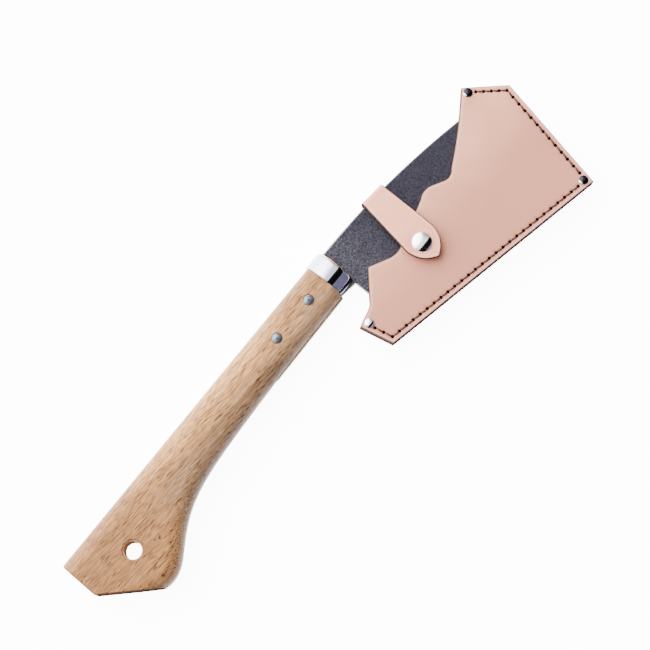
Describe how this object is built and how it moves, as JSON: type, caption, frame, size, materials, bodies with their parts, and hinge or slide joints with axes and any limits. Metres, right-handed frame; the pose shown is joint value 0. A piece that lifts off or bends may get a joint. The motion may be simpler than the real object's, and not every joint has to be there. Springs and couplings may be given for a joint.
{
  "type": "carving hatchet",
  "caption": "Plate-bladed carving hatchet with a flared wooden handle, carried in a stitched leather blade sheath that closes with a snap strap over the spine.",
  "frame": {"origin": "axis of the lanyard hole at half the thickness of the handle", "axes": "+X along the handle towards the head, +Y towards the spine of the blade, +Z towards the side with the snap; the cutting edge faces -Y"},
  "size_m": [0.3822, 0.0986, 0.0232],
  "materials": {
    "forged_steel": "dark forged plate with fine crossed scratches, ground bevel hidden in the sheath",
    "beech": "sanded beech with short dark flecks",
    "beech_strip": "lighter beech strip",
    "polished_ferrule": "mirror polished",
    "pin_steel": "tumbled steel",
    "tooling_leather": "natural vegetable tanned leather with burnished brown edges",
    "waxed_thread": "waxed rust-brown thread",
    "snap_metal": "polished nickel",
    "rivet_metal": "polished nickel"
  },
  "bodies": {
    "hatchet": {"blade": "forged_steel", "handle": "beech", "tang_key": "beech_strip", "ferrule": "polished_ferrule", "handle_pin_front": "pin_steel", "handle_pin_rear": "pin_steel"},
    "sheath": {"front_panel": "tooling_leather", "back_panel": "tooling_leather", "welt": "tooling_leather", "seam_thread_front": "waxed_thread", "seam_thread_edge": "waxed_thread", "snap_stud": "snap_metal", "snap_post": "snap_metal", "rivet_cap_heel": "rivet_metal", "rivet_post_heel": "rivet_metal", "rivet_cap_toe": "rivet_metal", "rivet_post_toe": "rivet_metal", "rivet_cap_top": "rivet_metal", "rivet_post_top": "rivet_metal"},
    "strap_side": {"strap_bend": "tooling_leather"},
    "strap_end": {"strap_flap": "tooling_leather", "snap_cap": "snap_metal", "snap_socket": "snap_metal", "snap_spring": "snap_metal"}
  },
  "joints": [
    {"name": "sheath_draw", "type": "slide", "parent": "hatchet", "child": "sheath", "axis": [0.579, -0.8153, 0], "range_m": [0, 0.14], "deforming": ["strap_bend"]},
    {"name": "strap_lower_fold", "type": "hinge", "parent": "sheath", "child": "strap_side", "pos_m": [0.24682, 0.02464, -0.00385], "axis": [-0.9959, 0.0906, 0], "range_deg": [0, 90]},
    {"name": "strap_upper_fold", "type": "hinge", "parent": "strap_side", "child": "strap_end", "pos_m": [0.24682, 0.02464, 0.0039], "axis": [-0.9959, 0.0906, 0], "range_deg": [0, 90]}
  ],
  "couplings": [
    {"joint": "strap_upper_fold", "follows": "strap_lower_fold", "ratio": 1}
  ]
}
